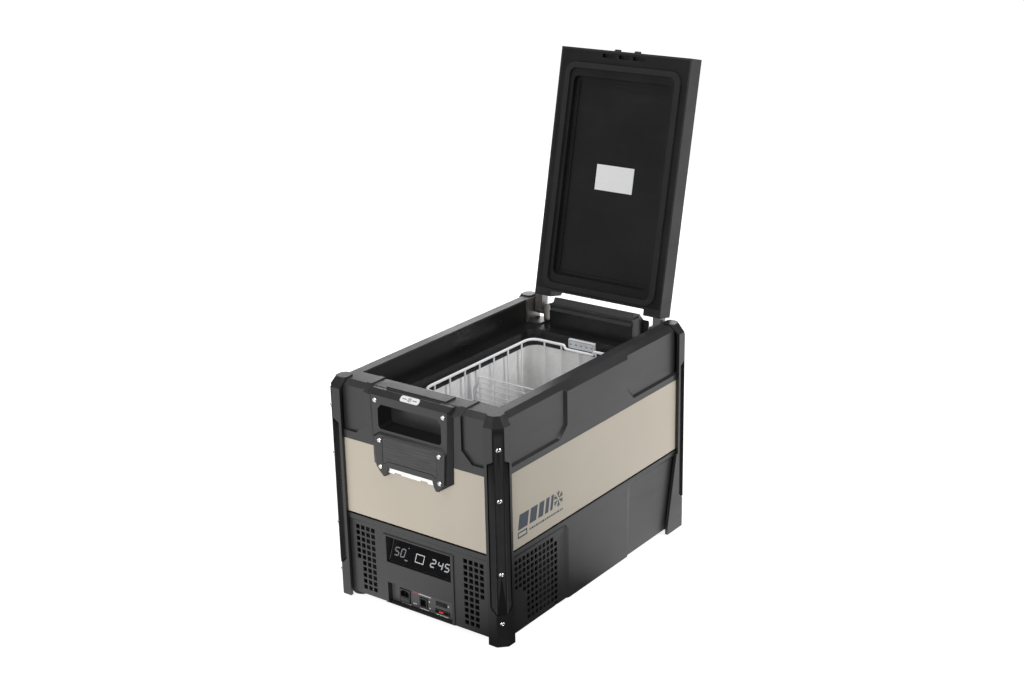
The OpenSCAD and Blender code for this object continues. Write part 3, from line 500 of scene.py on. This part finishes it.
def basket():
    """Welded round wire: a thick rail, and bars that run down the walls and across the floor."""
    (_, y0, z0), (x1, y1, z1) = span("basket")
    x = x1 - RAIL_R
    front, rear = y0 + RAIL_R, y1 - RAIL_R
    rail = z1 - RAIL_R
    low = z0 + BAR_R
    step0, step1 = DIP_SPAN
    slant = 4
    loop = [(step1, rear, rail), (x, rear, rail), (x, front, rail), (-x, front, rail),
            (-x, rear, rail), (step0, rear, rail)]
    dip = [(step0, rear, rail), (step0 + slant, rear, rail - RAIL_DIP),
           (step1 - slant, rear, rail - RAIL_DIP), (step1, rear, rail)]
    runs = [(rounded(loop, RAIL_CORNER), RAIL_R, False), (rounded(dip, 3.0), RAIL_R, False)]
    wall = x - 1.0
    inset = RAIL_CORNER + 10
    for i in range(SIDE_BARS):
        y = front + inset + i * (rear - front - 2 * inset) / (SIDE_BARS - 1)
        hoop = [(-wall, y, rail), (-wall, y, low), (wall, y, low), (wall, y, rail)]
        runs.append((rounded(hoop, BEND), BAR_R, False))
    crossing = low + 2 * BAR_R
    for i in range(END_BARS):
        across = -x + inset + i * 2 * (x - inset) / (END_BARS - 1)
        top = rail - RAIL_DIP if step0 < across < step1 else rail
        hoop = [(across, front + 1, rail), (across, front + 1, crossing),
                (across, rear - 1, crossing), (across, rear - 1, top)]
        runs.append((rounded(hoop, BEND), BAR_R, False))
    inner = wall - 2 * BAR_R
    back, nose = rear - 4, front + 4
    ring = [(0, back), (inner, back), (inner, nose), (-inner, nose), (-inner, back), (0, back)]
    for height in RING_LEVELS:
        path = rounded([(a, b, z0 + height) for a, b in ring], RAIL_CORNER)
        runs.append((path[:-1], BAR_R, True))
    piece = wires("basket_wires", runs, "basket", MATERIALS["wire"])
    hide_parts("basket")


def divider():
    """A wire fence across the basket, with doubled end bars that lean inwards at the top."""
    (_, y0, z0), (x1, y1, z1) = span("basket_divider")
    middle = (y0 + y1) / 2
    edge = x1 - 3.0
    neck = edge - 9.0
    pair = 3.6
    top = z1 - 2.0
    runs = []
    for way in (-1, 1):
        for offset in (-pair, pair):
            y = middle + offset
            path = [(way * edge, y, z0 + BAR_R), (way * edge, y, top - 40),
                    (way * neck, y, top - 26), (way * neck, middle + offset * 0.5, top)]
            runs.append((rounded(path, 6.0), BAR_R, False))
    level = z0 + 8.0
    while level < top - 4:
        half = neck if level > top - 30 else edge
        rung = [(-half, middle, level), (0, middle, level), (half, middle, level)]
        runs.append((rung, RUNG_R, False))
        level += RUNG_PITCH
    piece = wires("divider_wires", runs, "divider", MATERIALS["wire"])
    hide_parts("basket_divider")


# The tub's wall, corner and lip, in mm
TUB_WALL = 2.0
TUB_CORNER = 28.0
LIP_THICK = 1.6
LIP_DEPTH = 6.6
LIP_RISE = 0.6
LIP_GAP = 0.15
CORNER_STEPS = 8


def tub_ring(bm, inset, level):
    """Points round the tub's mouth, at an inset from its inner face."""
    low, high = span("tub")
    x = high[0] - TUB_WALL
    front, rear = low[1] + TUB_WALL, high[1] - TUB_WALL
    radius = TUB_CORNER - inset
    ring = []
    for side, end, start in ((1, 1, 0), (-1, 1, 90), (-1, -1, 180), (1, -1, 270)):
        centre_x = side * (x - TUB_CORNER)
        centre_y = rear - TUB_CORNER if end > 0 else front + TUB_CORNER
        for i in range(CORNER_STEPS + 1):
            turn = math.radians(start + i * 90 / CORNER_STEPS)
            place = Vector((centre_x + radius * math.cos(turn),
                            centre_y + radius * math.sin(turn), level))
            ring.append(bm.verts.new(place * MM))
    return ring


def liner_lip():
    """The black liner's lip, which turns down over the top of the white tub."""
    top = span("tub")[1][2] + LIP_RISE
    bottom = top - LIP_DEPTH
    bm = bmesh.new()
    section = ((LIP_GAP, bottom), (LIP_THICK, bottom), (LIP_THICK, top), (LIP_GAP, top))
    rings = [tub_ring(bm, inset, level) for inset, level in section]
    for a, b in zip(rings, rings[1:] + rings[:1]):
        for i in range(len(a)):
            j = (i + 1) % len(a)
            bm.faces.new((a[i], a[j], b[j], b[i]))
    bmesh.ops.recalc_face_normals(bm, faces=bm.faces)
    mesh = bpy.data.meshes.new("liner_lip")
    bm.to_mesh(mesh)
    bm.free()
    settle(bpy.data.objects.new("liner_lip", mesh), "cabinet", MATERIALS["liner"])


# The brow's tilt from upright, in degrees, and the badge's thickness in mm
BROW_TILT = 50.19
BADGE_THICK = 1.6


def badge_mark():
    """A plain snowflake between two bars on the badge."""
    tilt = math.radians(BROW_TILT)
    low, high = (Vector(v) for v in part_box("badge"))
    half_thick = BADGE_THICK / 2 * MM
    out = Vector((0, -math.cos(tilt), math.sin(tilt)))
    up = (0, math.sin(tilt), math.cos(tilt))
    place = plane((low + high) / 2 + out * half_thick, (1, 0, 0), up)
    shapes = snowflake(0, 0, 4.6, 0.9)
    shapes += [box_outline(-17, -7, -0.8, 0.8), box_outline(7, 17, -0.8, 0.8)]
    prisms("badge_mark", shapes, 0.08, place, "cabinet", SLATE_INK)


# ---------- control panel ----------

# The display's slope in degrees, and its pane and button in mm
PANE_SLOPE = 23
PANE_THICK = 1.5
BUTTON_RISE = 1.2
INK = 0.12
DIGIT_W = 12.5
DIGIT_H = 16.5
DIGIT_LINE = 2.4


def display_marks():
    """Two grey digits, three lit digits and an outlined button on the sloping pane."""
    slope = math.radians(PANE_SLOPE)
    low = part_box("display_window")[0]
    lower_edge = (0.0, low[1], low[2] + PANE_THICK * MM * math.sin(slope))
    place = plane(lower_edge, (1, 0, 0), (0, math.sin(slope), math.cos(slope)))
    grey = []
    for value, u in (("5", -69.5), ("0", -54.5)):
        grey += digit(value, u, 10.0, DIGIT_W - 1, DIGIT_H + 1, 2.2)
    grey += [disc(-36, 31, 1.3), box_outline(-41, -34, 5.5, 8.0)]
    prisms("set_digits", grey, INK, place, "cabinet", UNLIT_GREY)
    bars = []
    for value, u in (("2", 20.0), ("4", 37.5), ("5", 54.0)):
        bars += digit(value, u, 9.5, DIGIT_W, DIGIT_H, DIGIT_LINE)
    prisms("actual_digits", bars, INK, place, "cabinet", LIT_WHITE)
    # A near-black strip across the top of the pane: painted shadow of the overhang above the
    # display.
    prisms("display_painted_shadow", [box_outline(-74, 74, 43.5, 50.5)], 0.4, place, "cabinet",
           PAINTED_SHADE_BLACK)
    proud = Matrix.Translation((0, 0, BUTTON_RISE * MM))
    prisms("button_outline", frame_outline(-15.6, 5.6, 9.4, 26.6, 1.6), INK, place @ proud,
           "button", WHITE_INK)


def socket_marks():
    """Bars that stand for the small print round the sockets."""
    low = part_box("socket_panel")[0]
    place = plane((0.0, low[1], 0.0), (1, 0, 0), (0, 0, 1))
    ink = 0.1
    marks = dashes(-12, 20, 45.4, 47.4, 1) + dashes(-55, -31, 14.9, 16.4, 2)
    marks += dashes(-9, 14, 15.6, 17.4, 3) + dashes(32, 61, 15.0, 16.8, 4)
    marks += dashes(-25.5, -17.3, 21.2, 23.0, 5)
    marks += [disc(14.7, 36.5, 1.5), disc(15.6, 22.6, 1.5), disc(61.5, 40, 1.6)]
    prisms("socket_print", marks, ink, place, "cabinet", WHITE_INK)
    prisms("socket_print_red", dashes(-25, -13.5, 45.0, 47.8, 6), ink, place, "cabinet",
           RED_INK)


def band_decal():
    """Slanted bars, a snowflake and a thin dash row printed on the right band."""
    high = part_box("band_right")[1]
    place = plane((high[0], 0.0, 0.0), (0, 1, 0), (0, 0, 1))
    shapes = []
    foot, head = 222, 252
    lean = 6.0
    for u, width in ((-268, 30), (-232, 22), (-204, 16), (-182, 11), (-165, 8)):
        shapes.append([(u, foot), (u + width, foot), (u + width + lean, head), (u + lean, head)])
    shapes += snowflake(-137, 237, 16.0, 3.2)
    shapes += frame_outline(-269, -239, 205, 217.5, 3.0)
    shapes += dashes(-232, -122, 209, 213, 8, 3.0, 7.0, 2.2)
    prisms("side_decal", shapes, 0.08, place, "cabinet", SLATE_INK)


# ---------- lid ----------

def lid_rest():
    """Turns a place on the closed lid to where it rests, open."""
    hinge = next(j for j in frame["record"]["behaviour"]["joints"] if j["name"] == "lid_hinge")
    axis = Matrix.Translation(hinge["pos_m"])
    turn = Matrix.Rotation(math.radians(hinge["range_deg"][0]), 4, "X")
    return axis @ turn @ axis.inverted()


def lid_label():
    """A blank white label on the floor of the lid's dish, near the middle."""
    dish_floor = 0.429
    centre_y = 0.0026
    half_wide, half_long = 46.5, 27
    closed = plane((0.0, centre_y, dish_floor), (1, 0, 0), (0, -1, 0))
    outline = box_outline(-half_wide, half_wide, -half_long, half_long)
    prisms("lid_label", [outline], 0.25, lid_rest() @ closed, "lid", LABEL_PAPER_AND_BADGE_REFLECTION)


def lamp_details():
    """Small light chips in a thin frame on the face of the interior lamp."""
    (x0, y0, z0), (x1, _, z1) = span("interior_light")
    place = plane((0.0, y0 * MM, 0.0), (1, 0, 0), (0, 0, 1))
    middle = (z0 + z1) / 2
    chips = []
    count = 5
    for i in range(count):
        u = x0 + (i + 0.5) * (x1 - x0) / count
        chips.append(box_outline(u - 2.2, u + 2.2, middle - 1.8, middle + 1.8))
    chips += frame_outline(x0 + 2, x1 - 2, z0 + 2, z1 - 2, 1.0)
    prisms("lamp_chips", chips, 0.3, place, "cabinet", UNLIT_GREY)


basket()
divider()
liner_lip()
badge_mark()
display_marks()
socket_marks()
band_decal()
lid_label()
lamp_details()


# ---------- studio ----------

def camera_only(tree):
    """The light path's test for rays that come straight from the camera."""
    return tree.nodes.new("ShaderNodeLightPath").outputs["Is Camera Ray"]


def surround():
    """White as the camera sees it, and dim as a light."""
    world = bpy.data.worlds.new("surround")
    bpy.context.scene.world = world
    world.use_nodes = True
    tree = world.node_tree
    background = tree.nodes["Background"]
    mix = tree.nodes.new("ShaderNodeMix")
    mix.inputs["A"].default_value = 0.07
    mix.inputs["B"].default_value = 1.0
    tree.links.new(camera_only(tree), mix.inputs["Factor"])
    tree.links.new(mix.outputs["Result"], background.inputs["Strength"])
    background.inputs["Color"].default_value = (1.0, 1.0, 1.0, 1.0)


def studio_floor():
    """A white floor, brightest to the front left and rear right of the object."""
    mesh = bpy.data.meshes.new("studio_floor")
    half = 12.0
    mesh.from_pydata([(-half, -half, 0), (half, -half, 0), (half, half, 0), (-half, half, 0)],
                     [], [(0, 1, 2, 3)])
    floor = bpy.data.objects.new("studio_floor", mesh)
    bpy.context.scene.collection.objects.link(floor)
    floor.location.z = -0.0004
    g = Graph("floor_white")
    tree = g.tree
    out = tree.nodes["Material Output"]
    tree.nodes.remove(g.shader)
    heading = g.add("ShaderNodeVectorMath", operation="NORMALIZE")
    g.put(heading, 0, g.coordinates)
    along = g.add("ShaderNodeVectorMath", operation="DOT_PRODUCT")
    g.put(along, 0, heading.outputs["Vector"])
    g.put(along, 1, (-0.6, -0.8, 0.0))
    lit_side = g.math("ABSOLUTE", along.outputs["Value"], 0.0)
    strength = g.spread(lit_side, 0.5, 0.95, 0.02, 1.3)
    bounced = g.add("ShaderNodeEmission")
    g.put(bounced, "Strength", strength)
    paper = g.add("ShaderNodeBsdfDiffuse")
    g.put(paper, "Color", (0.5, 0.5, 0.5, 1.0))
    glow = g.add("ShaderNodeEmission")
    far = g.add("ShaderNodeVectorMath", operation="LENGTH")
    g.put(far, 0, g.coordinates)
    g.put(glow, "Strength", g.spread(far.outputs["Value"], 0.5, 1.4, 0.84, 1.0))
    seen = g.add("ShaderNodeAddShader")
    g.put(seen, 0, paper.outputs[0])
    g.put(seen, 1, glow.outputs[0])
    mix = g.add("ShaderNodeMixShader")
    g.put(mix, "Fac", camera_only(tree))
    g.put(mix, 1, bounced.outputs[0])
    g.put(mix, 2, seen.outputs[0])
    tree.links.new(mix.outputs[0], out.inputs["Surface"])
    mesh.materials.append(g.material)


def softbox(name, place, target, width, height, power):
    """A rectangular light that the camera doesn't see."""
    light = bpy.data.lights.new(name, "AREA")
    light.shape = "RECTANGLE"
    light.size = width
    light.size_y = height
    light.energy = power
    holder = bpy.data.objects.new(name, light)
    bpy.context.scene.collection.objects.link(holder)
    holder.location = place
    aim = Vector(target) - Vector(place)
    holder.rotation_euler = aim.to_track_quat("-Z", "Y").to_euler()
    holder.visible_camera = False


def studio():
    """Soft lights on each side, above and behind, in a white room."""
    surround()
    studio_floor()
    softbox("front_left_box", (-0.9, -2.1, 2.7), (0, 0, 0.3), 1.3, 1.3, 15)
    softbox("front_box", (0.7, -2.8, 1.1), (0, 0, 0.35), 1.4, 1.2, 42)
    softbox("right_box", (2.6, 0.6, 1.9), (0, 0, 0.3), 1.2, 1.2, 52)
    softbox("overhead_box", (-0.3, 0.2, 3.2), (0, 0, 0.3), 1.4, 1.4, 38)
    softbox("rear_left_box", (-1.9, 2.6, 1.1), (0, 0, 0.45), 1.8, 1.2, 22)


def camera():
    """A camera that looks down on the front right corner."""
    azimuth, elevation, roll = (math.radians(a) for a in (36.81, 19.46, -1.254))
    back = Vector((math.sin(azimuth) * math.cos(elevation), -math.cos(azimuth) * math.cos(elevation),
                   math.sin(elevation)))
    right = Vector((math.cos(azimuth), math.sin(azimuth), 0.0))
    up = back.cross(right)
    turned_right = math.cos(roll) * right + math.sin(roll) * up
    turned_up = -math.sin(roll) * right + math.cos(roll) * up
    lens = bpy.data.cameras.new("camera")
    lens.sensor_width = 36.0
    lens.lens = 58.0078
    lens.clip_start = 0.05
    lens.clip_end = 60.0
    holder = bpy.data.objects.new("camera", lens)
    bpy.context.scene.collection.objects.link(holder)
    holder.matrix_world = Matrix.Translation((1.8528, -2.4815, 1.5700)) @ Matrix(
        (turned_right, turned_up, back)).transposed().to_4x4()
    bpy.context.scene.camera = holder


studio()
camera()
bpy.context.scene.view_settings.view_transform = "Standard"
